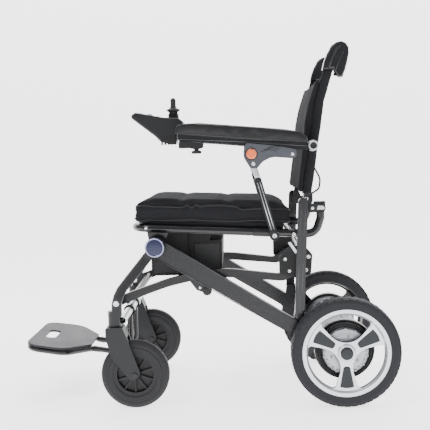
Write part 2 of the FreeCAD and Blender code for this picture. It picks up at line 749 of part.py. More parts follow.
def arm_bracket(name, side):
    """Shaped plate under the armrest that carries the release button and meets the strut."""
    body = new_body("arm_bracket_" + name)
    outline = [(118, 700, 6), (202, 690, 0), (249, 680, 8), (250, 658, 8), (236, 657, 8), (186, 662, 40),
               (162, 650, 30), (148, 634, 8), (130, 632, 12), (115, 660, 30)]
    side_pad(body, side, rounded_path(outline, True), "arm_out", "plate_out")
    side_hole(body, side, BUTTON, size("button_radius") + 0.4, "arm_out", "plate_out")


def arm_button(name, side):
    """Round release button."""
    body = new_body("arm_button_" + name, at(BUTTON))
    turn(body, mirrored(side, [(255.5, 0), (264.5, 0), (264.5, 10), (262, 13), (255.5, 13)]))


def strut_length(low, high, half_width):
    """Side-view outline of one straight length of the strut, measured from its foot."""
    foot = Vector(STRUT_FOOT[0], STRUT_FOOT[1], 0)
    ahead = (Vector(STRUT_TOP[0], STRUT_TOP[1], 0) - foot).normalize()
    across = Vector(-ahead.y, ahead.x, 0) * half_width
    corners = []
    for along, sign in ((low, -1), (low, 1), (high, 1), (high, -1)):
        corner = foot + ahead * along + across * sign
        corners.append((corner.x, corner.y, 2))
    return rounded_path(corners, True)


def strut(name, side):
    """Arm strut: clamp disc at the seat rail, flat outer bar and a slimmer inner bar with an eye."""
    body = new_body("strut_" + name)
    side_pad(body, side, circle(STRUT_FOOT, size("button_radius")), "strut_in", "strut_out")
    side_pad(body, side, strut_length(8, 156, 9), 240, 252)
    side_pad(body, side, strut_length(150, 194, 6.5), 242, 250)
    side_pad(body, side, circle(STRUT_TOP, size("stem_radius")), 242, 250)
    hole = size("post_pin_radius") + size("running")
    side_hole(body, side, STRUT_FOOT, hole, "strut_in", "strut_out")


# ---------------------------------------------------------------- controller

STICK = (184, -72)
STICK_PIVOT = 756
BUTTON_ROW = (168, 200)


def controller_housing():
    """Wedge-shaped joystick housing with wells for the stick and two buttons."""
    body = new_body("controller_housing")
    outline = [(-182, 781, 4), (-171, 788, 4), (-97, 773, 30), (-58, 771, 10), (-41, 757, 8),
               (-62, 730, 12), (-64, 702, 4), (-81, 701, 4), (-106, 709, 8), (-119, 723, 12),
               (-181, 772, 6)]
    sketch = new_sketch(body, "YZ_Plane", rounded_path(outline, True), start="150")
    pad(body, sketch, "68.5")
    fillet(body, "Dimensions.edge * 2.5", lambda a, b: abs(a.x - b.x) < 0.01)
    cut_through(body, "XY_Plane", circle(STICK, 22.5), "800", "56")
    for x in BUTTON_ROW:
        cut_through(body, "XY_Plane", circle((x, -135), 6.3), "800", "29")


def joystick():
    """Stick with its tiered boot, turned about its own length."""
    upright = Rotation(Vector(0, 1, 0), -90)
    body = new_body("joystick", Placement(Vector(STICK[0], STICK[1], 0), upright))
    turn(body, [(763.5, 0), (763.5, 4), (779, 4), (779, 13), (781, 15.5), (784, 11), (788, 12),
                (791, 18), (794, 18), (799, 8.5), (806, 7), (820, 7, 3), (825, 4, 2), (825, 0)])


def joystick_gimbal():
    """Ball with two crossed pins under the stick, one pin for each tilt axis."""
    centre = Vector(STICK[0], STICK[1], STICK_PIVOT)
    ball = doc.addObject("Part::Sphere", "gimbal_ball")
    ball.Radius = 7
    ball.Placement = Placement(centre, Rotation())
    pieces = [ball]
    reach = 10
    for name, axis in (("side", Vector(0, 1, 0)), ("forward", Vector(1, 0, 0))):
        pin = doc.addObject("Part::Cylinder", "gimbal_pin_" + name)
        pin.Radius = 3
        pin.Height = 2 * reach
        pin.Placement = Placement(centre - axis * reach, Rotation(Vector(0, 0, 1), axis))
        pieces.append(pin)
    gimbal = doc.addObject("Part::MultiFuse", "joystick_gimbal")
    gimbal.Shapes = pieces
    SUBPARTS.append(gimbal)


def small_button(label, x):
    """Push button on top of the controller."""
    button = doc.addObject("Part::Cylinder", label)
    button.Label = label
    button.Radius = 6
    button.Height = 9
    button.Placement = Placement(Vector(x, -135, 774.5), Rotation())
    SUBPARTS.append(button)


def controller_clamp():
    """Clamp that holds the controller beside and under the armrest rail."""
    body = new_body("controller_clamp")
    cheek = [(-56, 692, 3), (-26, 692, 3), (-26, 722, 3), (-56, 722, 3)]
    side_pad(body, 1, rounded_path(cheek, True), 218.5, 231)
    shelf = [(-56, 690, 3), (8, 690, 3), (8, 703, 3), (-56, 708, 3)]
    side_pad(body, 1, rounded_path(shelf, True), 218.5, 255)
    screw = circle((242, -10), 4.05)
    cut_through(body, "XY_Plane", screw, "712", "30")


def clamp_knob():
    """Hand screw under the clamp."""
    upright = Rotation(Vector(0, 1, 0), -90)
    body = new_body("clamp_knob", Placement(Vector(242, -10, 0), upright))
    turn(body, [(675, 0), (675, 11), (677, 13), (682, 13), (684, 6), (687, 6), (687, 9),
                (689.5, 9), (689.5, 4), (700, 4), (700, 0)])


# ---------------------------------------------------------------- build everything

rear_cross_tube()
post_pins()
front_cross_tube()
frame_pins()
footplate()
footrest_hoop()
link_frame()
rear_post_frame()
rear_brackets()
seat_frame()
seat_blocks()
lock_housings()
back_frame()
push_grips()
back_pad()
release_cables()
controller_housing()
joystick()
joystick_gimbal()
small_button("power_button", BUTTON_ROW[0])
small_button("horn_button", BUTTON_ROW[1])
controller_clamp()
clamp_knob()
for part in (main_beam, hub_motor, drive_tyre, rim, front_leg, fork, caster_axle, caster_tyre,
             caster_hub, lock_lever, arm_hub, arm_rail, arm_pad, arm_bracket, arm_button, strut):
    for side_name, side_sign in SIDES:
        part(side_name, side_sign)
pivot_caps()
doc.recompute()

for item in doc.Objects:
    state = " ".join(item.State)
    if "Invalid" in state or "Error" in state:
        raise RuntimeError("failed: " + item.Label + " " + state)
for item in SUBPARTS:
    if item.Shape.isNull() or not item.Shape.isValid():
        raise RuntimeError("bad shape: " + item.Label)

os.makedirs("parts", exist_ok=True)
for item in SUBPARTS:
    item.Shape.exportStep("parts/" + item.Label + ".step")
    box = item.Shape.BoundBox
    print("%-20s solids %d volume %.0f  X %.1f..%.1f Y %.1f..%.1f Z %.1f..%.1f" % (
        item.Label, len(item.Shape.Solids), item.Shape.Volume,
        box.XMin, box.XMax, box.YMin, box.YMax, box.ZMin, box.ZMax))
print(len(SUBPARTS), "sub-parts")
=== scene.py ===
import bpy
import bmesh
import math
from mathutils import Matrix, Vector


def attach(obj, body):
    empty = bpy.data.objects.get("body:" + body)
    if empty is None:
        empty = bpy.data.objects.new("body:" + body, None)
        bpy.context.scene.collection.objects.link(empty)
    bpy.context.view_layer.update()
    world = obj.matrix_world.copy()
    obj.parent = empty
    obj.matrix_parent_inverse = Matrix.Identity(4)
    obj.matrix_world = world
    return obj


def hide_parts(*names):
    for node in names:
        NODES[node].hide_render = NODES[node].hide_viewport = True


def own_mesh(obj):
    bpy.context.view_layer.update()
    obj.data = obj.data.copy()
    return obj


# Looks of the folding power wheelchair. Metres, +Z up, the rider faces -Y, +X is the rider's left.
# Sizes and places of the added pieces are in millimetres and pass through MM; cloth settings, lifts off a
# surface, the stage, the lights and the camera are in metres.

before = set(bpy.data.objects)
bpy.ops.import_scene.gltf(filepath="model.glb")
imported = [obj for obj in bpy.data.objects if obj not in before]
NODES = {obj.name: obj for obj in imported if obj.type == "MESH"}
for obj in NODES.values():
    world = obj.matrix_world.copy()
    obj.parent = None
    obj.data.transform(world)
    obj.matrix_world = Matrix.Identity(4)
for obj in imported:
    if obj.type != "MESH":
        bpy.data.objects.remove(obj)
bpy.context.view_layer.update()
SIDES = (("left", 1), ("right", -1))
MM = 0.001
AXIS = 0.01                                          # radius that closes a turned form at its axis
OUTWARD = 0.45                                       # least sideways share of a normal for the metal look
DARK_SUM, DARK_SHINE = 0.2, 0.55                     # dark paints reflect less
CLOUD_SCALE, COLOUR_VARY = 14, 0.12


# ------------------------------------------------------------------ materials

def material(name, color, rough=0.5, metal=0.0, grain=900.0, bump=0.1, depth=0.0003,
             coat=0.0, stretch=(1, 1, 1), kind="noise", spots=None, shine=0.5):
    """A principled material with procedural colour, gloss and height detail."""
    mat = bpy.data.materials.new(name)
    mat.use_nodes = True
    tree = mat.node_tree
    nodes, links = tree.nodes, tree.links
    shader = nodes["Principled BSDF"]
    shader.inputs["Metallic"].default_value = metal
    shader.inputs["Coat Weight"].default_value = coat
    shader.inputs["Coat Roughness"].default_value = 0.12
    shader.inputs["Specular IOR Level"].default_value = shine if sum(color) > DARK_SUM else shine * DARK_SHINE
    coord = nodes.new("ShaderNodeTexCoord")
    scale = nodes.new("ShaderNodeMapping")
    scale.inputs["Scale"].default_value = stretch
    links.new(coord.outputs["Object"], scale.inputs["Vector"])
    if kind == "voronoi":
        height = nodes.new("ShaderNodeTexVoronoi")
        height_out = height.outputs["Distance"]
    else:
        height = nodes.new("ShaderNodeTexNoise")
        height.inputs["Detail"].default_value = 4
        height_out = height.outputs["Fac"]
    height.inputs["Scale"].default_value = grain
    links.new(scale.outputs["Vector"], height.inputs["Vector"])
    if kind == "weave":
        height_out = weave_height(nodes, links, scale.outputs["Vector"], grain)
    cloud = nodes.new("ShaderNodeTexNoise")
    cloud.inputs["Scale"].default_value = CLOUD_SCALE
    cloud.inputs["Detail"].default_value = 5
    links.new(coord.outputs["Object"], cloud.inputs["Vector"])
    ramp = nodes.new("ShaderNodeMix")
    ramp.data_type = "RGBA"
    dark = [c * (1 - COLOUR_VARY) for c in color]
    light = [min(1, c * (1 + COLOUR_VARY) + 0.004) for c in color]
    ramp.inputs["A"].default_value = dark + [1]
    ramp.inputs["B"].default_value = light + [1]
    links.new(cloud.outputs["Fac"], ramp.inputs["Factor"])
    base_out = ramp.outputs["Result"]
    if spots or kind == "weave":
        tint = nodes.new("ShaderNodeMix")
        tint.data_type = "RGBA"
        tint.inputs["B"].default_value = list(spots or [min(1, c * 1.9) for c in color]) + [1]
        level = nodes.new("ShaderNodeMapRange")
        level.inputs["From Min"].default_value = 0.35 if kind == "weave" else 0.5
        level.inputs["From Max"].default_value = 1.0 if kind == "weave" else 0.75
        links.new(height_out, level.inputs["Value"])
        links.new(level.outputs["Result"], tint.inputs["Factor"])
        links.new(base_out, tint.inputs["A"])
        base_out = tint.outputs["Result"]
    links.new(base_out, shader.inputs["Base Color"])
    gloss = nodes.new("ShaderNodeMapRange")
    gloss.inputs["To Min"].default_value = max(0.02, rough * 0.8)
    gloss.inputs["To Max"].default_value = min(1, rough * 1.2)
    links.new(cloud.outputs["Fac"], gloss.inputs["Value"])
    links.new(gloss.outputs["Result"], shader.inputs["Roughness"])
    relief = nodes.new("ShaderNodeBump")
    relief.inputs["Strength"].default_value = bump
    relief.inputs["Distance"].default_value = depth
    links.new(height_out, relief.inputs["Height"])
    links.new(relief.outputs["Normal"], shader.inputs["Normal"])
    return mat


def math_node(nodes, links, operation, *sources):
    """A Math node fed by sockets or plain numbers; gives its output."""
    node = nodes.new("ShaderNodeMath")
    node.operation = operation
    for socket, source in zip(node.inputs, sources):
        if isinstance(source, (int, float)):
            socket.default_value = source
        else:
            links.new(source, socket)
    return node.outputs[0]


def weave_height(nodes, links, vector, threads):
    """Height of a plain weave: threads along X crossing threads along Y and Z."""
    split = nodes.new("ShaderNodeSeparateXYZ")
    links.new(vector, split.inputs["Vector"])
    waves = []
    for axis in "XYZ":
        phase = math_node(nodes, links, "MULTIPLY", split.outputs[axis], threads)
        waves.append(math_node(nodes, links, "SINE", phase))
    level = math_node(nodes, links, "MULTIPLY", waves[0], waves[1])
    upright = math_node(nodes, links, "MULTIPLY", waves[0], waves[2])
    total = math_node(nodes, links, "ADD", level, upright)
    return math_node(nodes, links, "MULTIPLY_ADD", total, 0.25, 0.5)


LOOKS = {
    "carbon": material("carbon", (0.004, 0.004, 0.005), 0.3, grain=420, kind="voronoi",
                       spots=(0.022, 0.022, 0.025), coat=0.15, bump=0.05),
    "gloss_black": material("gloss_black", (0.005, 0.005, 0.006), 0.2, grain=1500, bump=0.03, coat=0.35),
    "satin_black": material("satin_black", (0.007, 0.007, 0.008), 0.36, grain=1600, bump=0.12, coat=0.15),
    "matte_black": material("matte_black", (0.008, 0.008, 0.0085), 0.6, grain=1800, bump=0.25),
    "tyre": material("tyre_rubber", (0.017, 0.017, 0.020), 0.72, grain=1300, bump=0.3),
    "caster": material("caster_rubber", (0.016, 0.016, 0.017), 0.62, grain=1300, bump=0.2),
    "hub": material("hub_plastic", (0.010, 0.010, 0.011), 0.45, grain=1300, bump=0.2),
    "fork": material("fork_paint", (0.014, 0.0145, 0.0155), 0.45, grain=1700, bump=0.2),
    "cast": material("cast_metal", (0.40, 0.41, 0.43), 0.42, 0.85, grain=520, bump=0.35, depth=0.0005),
    "rim": material("rim_paint", (0.66, 0.67, 0.70), 0.3, 0.8, grain=900, bump=0.08),
    "inset": material("rim_inset", (0.025, 0.027, 0.030), 0.4, 0.3, grain=900, bump=0.15),
    "silver": material("silver_anodised", (0.62, 0.63, 0.65), 0.3, 0.9, grain=700, bump=0.06,
                       stretch=(1, 1, 0.05)),
    "steel": material("bright_steel", (0.68, 0.68, 0.7), 0.2, 1.0, grain=900, bump=0.05, stretch=(0.1, 1, 1)),
    "navy": material("cap_navy", (0.012, 0.015, 0.045), 0.35, 0.4, grain=1500, kind="weave", bump=0.2,
                     coat=0.4, spots=(0.03, 0.035, 0.09)),
    "lilac": material("cap_ring", (0.33, 0.33, 0.55), 0.25, 0.8, grain=900, bump=0.05),
    "foot": material("footplate_plastic", (0.022, 0.020, 0.027), 0.5, grain=1500, kind="voronoi", bump=0.3),
    "fabric": material("cushion_fabric", (0.012, 0.012, 0.0135), 0.85, grain=2100, kind="weave", bump=0.5,
                       depth=0.0004, shine=0.08),
    "piping": material("piping_vinyl", (0.012, 0.012, 0.013), 0.45, grain=1500, bump=0.2),
    "leather": material("arm_leather", (0.007, 0.007, 0.008), 0.42, grain=480, kind="voronoi",
                        bump=0.25, coat=0.1),
    "grey": material("arm_grey", (0.065, 0.068, 0.08), 0.32, 0.4, grain=1500, bump=0.08, coat=0.2),
    "orange": material("orange_button", (0.85, 0.16, 0.03), 0.3, grain=1500, bump=0.05, coat=0.4),
    "rubber": material("soft_rubber", (0.016, 0.016, 0.016), 0.55, grain=1200, bump=0.2),
    "light": material("indicator", (0.55, 0.57, 0.6), 0.3, grain=1200, bump=0.03),
}


def face_only(mat, metal, dark, least):
    """Keep a metal look on outward faces beyond a distance across the chair; dark paint elsewhere."""
    nodes, links = mat.node_tree.nodes, mat.node_tree.links
    shader = nodes["Principled BSDF"]
    geometry = nodes.new("ShaderNodeNewGeometry")
    tests = []
    for output, limit in (("Position", least), ("True Normal", OUTWARD)):
        split = nodes.new("ShaderNodeSeparateXYZ")
        links.new(geometry.outputs[output], split.inputs["Vector"])
        size = math_node(nodes, links, "ABSOLUTE", split.outputs["X"])
        tests.append(math_node(nodes, links, "GREATER_THAN", size, limit))
    both = math_node(nodes, links, "MULTIPLY", *tests)
    paint = nodes.new("ShaderNodeMix")
    paint.data_type = "RGBA"
    paint.inputs["A"].default_value = list(dark) + [1]
    links.new(shader.inputs["Base Color"].links[0].from_socket, paint.inputs["B"])
    links.new(both, paint.inputs["Factor"])
    links.new(paint.outputs["Result"], shader.inputs["Base Color"])
    links.new(math_node(nodes, links, "MULTIPLY", both, metal), shader.inputs["Metallic"])


RIM_PAINT_FROM = 0.266                               # metres across the chair
face_only(LOOKS["rim"], 0.8, (0.012, 0.012, 0.013), RIM_PAINT_FROM)

NODE_LOOK = {
    "beam": "carbon", "rear_cross_tube": "gloss_black", "motor": "cast", "post_pins": "satin_black",
    "tyre": "tyre", "rim": "rim", "leg": "satin_black", "front_cross_tube": "silver",
    "pivot_caps": "satin_black", "frame_pins": "steel", "footplate": "foot",
    "footrest_hoop": "gloss_black", "fork": "fork", "caster_axle": "satin_black",
    "caster_tyre": "caster", "caster_hub": "hub", "link_frame": "satin_black",
    "rear_post_frame": "gloss_black", "rear_brackets": "matte_black", "seat_frame": "gloss_black",
    "battery": "matte_black", "power_box": "matte_black", "seat_board": "matte_black",
    "cushion_base": "fabric", "cushion_top": "fabric", "lock_housings": "satin_black",
    "lock_lever": "satin_black", "back_frame": "gloss_black", "back_pad": "fabric",
    "push_grips": "gloss_black", "release_cables": "rubber", "arm_hub": "steel",
    "arm_rail": "gloss_black", "arm_pad": "leather", "arm_bracket": "grey", "arm_button": "orange",
    "strut": "satin_black", "controller_housing": "satin_black", "controller_clamp": "satin_black",
    "clamp_knob": "rubber", "joystick_gimbal": "rubber", "joystick": "rubber", "power_button": "light",
    "horn_button": "light",
}
WIDE_EDGE = 3                                        # from this width on, an edge gets more segments
SOFT_EDGE = {"beam": 0.8, "leg": 1.2, "rim": 0.8, "fork": 1.5, "link_frame": 1.8, "rear_post_frame": 4.5,
             "rear_brackets": 1.5, "footplate": 1.5, "battery": 3, "power_box": 3, "lock_housings": 1.5,
             "lock_lever": 1, "arm_rail": 3, "arm_bracket": 1.5, "strut": 3,
             "controller_housing": 3, "controller_clamp": 1.5, "seat_board": 1, "pivot_caps": 1}


def key_of(table, node):
    """The longest table key that starts a node's name."""
    found = [key for key in table if node.startswith(key)]
    return max(found, key=len) if found else None


def soften(obj, width, angle=35):
    """Round the hard edges slightly and shade smooth."""
    bevel = obj.modifiers.new("edges", "BEVEL")
    bevel.width = width * MM
    bevel.segments = 2 if width < WIDE_EDGE else 4
    bevel.limit_method = "ANGLE"
    bevel.angle_limit = math.radians(angle)
    bevel.harden_normals = True


for node_name, node in NODES.items():
    look = LOOKS[NODE_LOOK[key_of(NODE_LOOK, node_name)]]
    for index in range(len(node.data.materials)):
        node.data.materials[index] = look
    edge_key = key_of(SOFT_EDGE, node_name)
    if edge_key:
        soften(node, SOFT_EDGE[edge_key])


# ------------------------------------------------------------------ modelling helpers

def finish_piece(name, mesh_data, look, body, smooth=True):
    """Link a new piece, give it its look and let it ride on a body."""
    obj = bpy.data.objects.new(name, mesh_data)
    bpy.context.scene.collection.objects.link(obj)
    obj.data.materials.append(LOOKS[look])
    if smooth:
        for face in mesh_data.polygons:
            face.use_smooth = True
    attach(obj, body)
    return obj


def from_bmesh(name, bm, look, body, smooth=True):
    """Turn a bmesh into a riding piece."""
    bmesh.ops.recalc_face_normals(bm, faces=bm.faces)
    data = bpy.data.meshes.new(name)
    bm.to_mesh(data)
    bm.free()
    return finish_piece(name, data, look, body, smooth)


def add_lathe(bm, centre, profile, side=1, segments=48, ring=False):
    """Turned form about X: profile of (x, radius) in mm, centre (y, z) in mm; ring closes it on itself."""
    rings = []
    for x, radius in profile:
        loop = []
        for step in range(segments):
            angle = 2 * math.pi * step / segments
            loop.append(bm.verts.new(Vector((side * x, centre[0] + radius * math.cos(angle),
                                             centre[1] + radius * math.sin(angle))) * MM))
        rings.append(loop)
    pairs = list(zip(rings, rings[1:])) + ([(rings[-1], rings[0])] if ring else [])
    for low, high in pairs:
        for step in range(segments):
            after = (step + 1) % segments
            bm.faces.new((low[step], low[after], high[after], high[step]))
    if not ring:
        bm.faces.new(rings[0])
        bm.faces.new(rings[-1])


def add_plate(bm, outline, inner, outer, side=1):
    """Flat plate: side-view outline of (y, z) in mm between two distances across the chair."""
    near = [bm.verts.new(Vector((side * outer, y, z)) * MM) for y, z in outline]
    far = [bm.verts.new(Vector((side * inner, y, z)) * MM) for y, z in outline]
    bm.faces.new(near)
    bm.faces.new(far)
    count = len(outline)
    for i in range(count):
        j = (i + 1) % count
        bm.faces.new((near[i], near[j], far[j], far[i]))


def add_tube(bm, points, radius, segments=16):
    """Round tube through world points in mm."""
    points = [Vector(p) for p in points]
    rings = []
    normal = None
    for i, point in enumerate(points):
        ahead = (points[min(i + 1, len(points) - 1)] - points[max(i - 1, 0)]).normalized()
        if normal is None:
            normal = ahead.orthogonal().normalized()
        normal = (normal - ahead * normal.dot(ahead)).normalized()
        other = ahead.cross(normal)
        ring = []
        for step in range(segments):
            angle = 2 * math.pi * step / segments
            out = normal * math.cos(angle) + other * math.sin(angle)
            ring.append(bm.verts.new((point + out * radius) * MM))
        rings.append(ring)
    for low, high in zip(rings, rings[1:]):
        for step in range(segments):
            after = (step + 1) % segments
            bm.faces.new((low[step], low[after], high[after], high[step]))
    bm.faces.new(rings[0])
    bm.faces.new(rings[-1])


def polar(centre, radius, degrees):
    """Side-view point at a radius and angle from a centre."""
    angle = math.radians(degrees)
    return (centre[0] + radius * math.cos(angle), centre[1] + radius * math.sin(angle))


def bolt_head(bm, centre, face, radius, side=1, height=4):
    """Domed screw head with a socket, standing on a face at this distance across the chair."""
    profile = []
    for rise, share in ((0, 1), (0.5, 1), (0.85, 0.82), (1, 0.5), (0.55, 0.42)):
        profile.append((face + height * rise, radius * share))
    profile.append((face + height * 0.5, AXIS))
    add_lathe(bm, centre, profile, side, 24)


def lathe_piece(name, look, body, centre, profile, side, segments=48, ring=False):
    """A turned form as a piece of its own."""
    bm = bmesh.new()
    add_lathe(bm, centre, profile, side, segments, ring)
    return from_bmesh(name, bm, look, body)


def tube_piece(name, look, body, routes, radius, segments=8):
    """Round lines along routes of world points in mm, as one piece."""
    bm = bmesh.new()
    for route in routes:
        add_tube(bm, route, radius, segments)
    return from_bmesh(name, bm, look, body)


def plate_piece(name, look, body, plates, side=1, edge=0):
    """Flat plates of (outline, inner, outer) as one piece; its edges may be rounded by a width in mm."""
    bm = bmesh.new()
    for outline, inner, outer in plates:
        add_plate(bm, outline, inner, outer, side)
    piece = from_bmesh(name, bm, look, body, False)
    if edge:
        soften(piece, edge)
    return piece


# ------------------------------------------------------------------ wheels and motors

AXLE = (370, 145)                                   # (y, z) of the drive wheels' axis
INSET_FACES = (268, 272.4)
INSET_TURNS = (270, 30, 150)
INSET_OUTLINE = ((37.5, -6.5), (36, -4), (36, 4), (37.5, 6.5), (40, 8.8), (86, 17.5), (88.5, 18.4), (91, 17),
                 (93.5, 6), (93.5, -6), (91, -17), (88.5, -18.4), (86, -17.5), (40, -8.8))
LUGS, LUG_LIFT = 44, 3.5
LUG_ROWS = ((262, 278.6, 0), (233.4, 250, 0.5))     # two distances across the chair, share of a lug
LUG_CORNERS = (0, 1, 3, 2), (4, 5, 7, 6), (0, 1, 5, 4), (2, 3, 7, 6), (0, 2, 6, 4), (1, 3, 7, 5)
BEAD_FACE, BEAD_RADII, BEAD_HALF = 280.2, (121, 128), 1.5
MOTOR_FACE, COVER_KNOBS, COVER_BOLTS = 251, 28, 6


def rim_insets(name, side):
    """Dark panels let into the rim's three broad spokes."""
    plates = []
    for turn in INSET_TURNS:
        corners = []
        for reach, half in INSET_OUTLINE:
            along, across = polar((0, 0), reach, turn), polar((0, 0), half, turn + 90)
            corners.append((AXLE[0] + along[0] + across[0], AXLE[1] + along[1] + across[1]))
        plates.append((corners, *INSET_FACES))
    plate_piece("rim_insets_" + name, "inset", "wheel_" + name, plates, side, 0.8)


def hub_cap(name, side):
    """Plain cap and bright ring over the wheel's hub."""
    cap = [(270, 17), (278.5, 16.6), (280.3, 15), (281, 11), (280.6, AXIS)]
    lathe_piece("hub_cap_" + name, "inset", "wheel_" + name, AXLE, cap, side)
    ring = [(276, 19), (278.6, 18.6), (278.8, 17.2), (276, 16.8)]
    lathe_piece("hub_ring_" + name, "steel", "wheel_" + name, AXLE, ring, side, ring=True)


def tyre_tread(name, side):
    """Two staggered rows of lugs round the tyre's shoulders."""
    bm = bmesh.new()
    for step in range(LUGS):
        for low, high, shift in LUG_ROWS:
            middle = 360 * (step + shift) / LUGS
            corners = []
            for x, radius, half in ((low, 141.5, 2.6), (high, 139, 3.1)):
                for sign in (-1, 1):
                    corners.append((x, radius, middle + sign * half))
            verts = []
            for lift in (0, LUG_LIFT):
                for x, radius, degrees in corners:
                    y, z = polar(AXLE, radius + lift, degrees)
                    verts.append(bm.verts.new(Vector((side * x, y, z)) * MM))
            for quad in LUG_CORNERS:
                bm.faces.new([verts[k] for k in quad])
    from_bmesh("tyre_tread_" + name, bm, "tyre", "wheel_" + name, False)


def tyre_bead_rings(name, side):
    """Raised lines on the tyre's outer wall."""
    bm = bmesh.new()
    low, high = BEAD_FACE - 3, BEAD_FACE + 0.7
    for radius in BEAD_RADII:
        section = [(low, radius - BEAD_HALF), (high, radius - 0.8),
                   (high, radius + 0.8), (low, radius + BEAD_HALF)]
        add_lathe(bm, AXLE, section, side, 96, True)
    from_bmesh("tyre_bead_rings_" + name, bm, "tyre", "wheel_" + name)


def motor_cover(name, side):
    """Cast cover of the hub motor, with a ring of knobs and its screws, and the seal round it."""
    bm = bmesh.new()
    cover = [(246, 61), (250.5, 60), (251.4, 57), (250.2, 53), (251.6, 48), (251.8, 30), (250, 24)]
    add_lathe(bm, AXLE, cover, side, 64)
    knob = [(247, 4.4), (252.6, 4.0), (253.4, 2.6), (252.4, 1.8), (252.4, AXIS)]
    for step in range(COVER_KNOBS):
        add_lathe(bm, polar(AXLE, 56 + 1.6 * (step % 2), 360 * step / COVER_KNOBS), knob, side, 10)
    for step in range(COVER_BOLTS):
        bolt_head(bm, polar(AXLE, 40, 360 / COVER_BOLTS * step + 20), MOTOR_FACE, 3.6, side, 3)
    from_bmesh("motor_cover_" + name, bm, "cast", "main_frame")
    seal = [(241, 73.4), (245.6, 73.2), (246.4, 70), (245.6, 62.6), (241, 62)]
    lathe_piece("motor_seal_" + name, "matte_black", "main_frame", AXLE, seal, side, 72, True)


for name, side in SIDES:
    rim_insets(name, side)
    hub_cap(name, side)
    tyre_tread(name, side)
    tyre_bead_rings(name, side)
    motor_cover(name, side)

# ------------------------------------------------------------------ pivot caps, bolts and trim

FRONT_PIVOT = (-127, 431.8)
BUMPER = (7.2, 309.3)
# The beam, leg and post edge routes carry painted highlight lines along those edges; LEG_LINE guides the
# leg's ribs.
BEAM_HIGHLIGHT_EDGES = ((-70, 421.5), (236, 229.5)), ((-98, 383), (212, 199))
LEG_HIGHLIGHT_EDGES = (((-148, 424.5), (-219, 339), (-231, 323), (-240, 305), (-245.6, 284), (-246, 262)),
             ((-128, 411), (-206, 318), (-215, 302), (-220.6, 284), (-221.6, 262)))
LEG_LINE = ((-150, 400.5), (-172, 374), (-195, 347), (-213, 324), (-224, 306), (-230, 296))
POST_HIGHLIGHT_EDGES = (((262.6, 536), (251.6, 349), (246.4, 244)), ((273.4, 536), (262.6, 349), (257.6, 244)))
BEAM_FACE, LEG_FACE, POST_FACE = 225, 246, 228       # where the painted highlight lines lie, across the chair
RIB_SPACING, RIB_REACH, RIB_HALF = 2.6, 8.2, 0.6
RAIL_SLOPE, RAIL_X = 0.05591, 203                    # fall of the seat tube towards the back


def pivot_cap(name, side):
    """Lilac ring and navy face over the front pivot."""
    ring = [(256, 25.6), (259.5, 25.2), (260, 23.2), (259.2, 21.6), (257, 21.4)]
    lathe_piece("cap_ring_" + name, "lilac", "front_frame", FRONT_PIVOT, ring, side, 64, True)
    face = [(257, 21.5), (258.6, 21.4), (259, 18), (259, AXIS)]
    lathe_piece("cap_face_" + name, "navy", "front_frame", FRONT_PIVOT, face, side, 64)


def bolts(name, side):
    """Screw heads, body by body: centre (y, z), face across the chair, radius and height."""
    heads = {
        "front_frame": [((-234.5, 284), 246, 8.5, 5)],
        "main_frame": [((-11.6, 317.7), 220, 4, 3)],
        "rear_posts": [((217, 389), 216, 5, 3), ((228, 357), 216, 5, 3),
                       ((278.6, 394.5), 216, 6, 3), ((271.5, 359), 216, 6, 3)],
        "seat": [((242, 454), 213, 6, 4), ((189, 456), 254, 6.5, 4), ((-152, 480), 213.5, 4, 2)],
        "armrest_" + name: [((239.6, 668.1), 260, 4.5, 2.5), ((137.4, 645.5), 260, 5.5, 3)],
        "backrest": [((276, 548), 210, 6, 3), ((300, 690), 212.8, 4, 1)],
    }
    for body, places in heads.items():
        bm = bmesh.new()
        for centre, face, radius, height in places:
            bolt_head(bm, centre, face, radius, side, height)
        from_bmesh("bolts_%s_%s" % (body.replace("_" + name, ""), name), bm, "steel", body)


def frame_trim(name, side):
    """Rubber bumper, seat stay, painted highlight lines along the edges of beams, legs and posts, and the
    rail collar.
    """
    bumper = [(219, 12.9), (223.5, 12.6), (224.5, 11), (224.5, AXIS)]
    lathe_piece("frame_bumper_" + name, "rubber", "main_frame", BUMPER, bumper, side, 40)
    stay = [(225, 433), (232, 435), (251, 407), (244, 404)]
    plate_piece("seat_stay_" + name, "silver", "rear_posts", [(stay, 216, 220)], side)
    for part, body, slot, edges, x, radius in (
            ("beam", "main_frame", "carbon", BEAM_HIGHLIGHT_EDGES, BEAM_FACE, 1.1),
            ("leg", "front_frame", "frame_tube", LEG_HIGHLIGHT_EDGES, LEG_FACE, 0.9),
            ("post", "rear_posts", "silver_tube", POST_HIGHLIGHT_EDGES, POST_FACE, 0.8)):
        # painted highlights: light grey lines along the glossy edges of beams, legs and posts
        routes = [[(side * x, y, z) for y, z in edge] for edge in edges]
        tube_piece(part + "_edge_highlights_" + name, "grey", body, routes, radius)
    collar = [(side * RAIL_X, y, 481 - RAIL_SLOPE * (y + 183)) for y in (134, 136, 201, 203)]
    tube_piece("rail_collar_" + name, "satin_black", "seat", [collar], 12.4, 24)


def box_and_latch(name, side):
    """Raised panels of the two boxes, the latch cover and its bright clip."""
    panels = [([(-28, 366), (-28, 430), (42, 430), (42, 366)], 149, 151.4),
              ([(-138, 352), (-138, 420), (-52, 420), (-52, 352)], 164, 166)]
    plate_piece("box_panels_" + name, "hub", "seat", panels, side, 1)
    cover = [(300, 516), (327.5, 516), (327.5, 541), (296, 541), (296, 524)]
    plate_piece("latch_cover_" + name, "satin_black", "seat", [(cover, 196, 208.8)], side, 3)
    bm = bmesh.new()
    add_plate(bm, [(303, 519), (322, 519), (325, 523), (322, 529), (306, 530)], 215, 217.2, side)
    add_lathe(bm, (292, 523.5), [(215.6, 5), (217.6, 4.6), (218.2, 3), (218.2, AXIS)], side, 24)
    clip = from_bmesh("latch_clip_" + name, bm, "steel", "latch_" + name, False)
    soften(clip, 1)


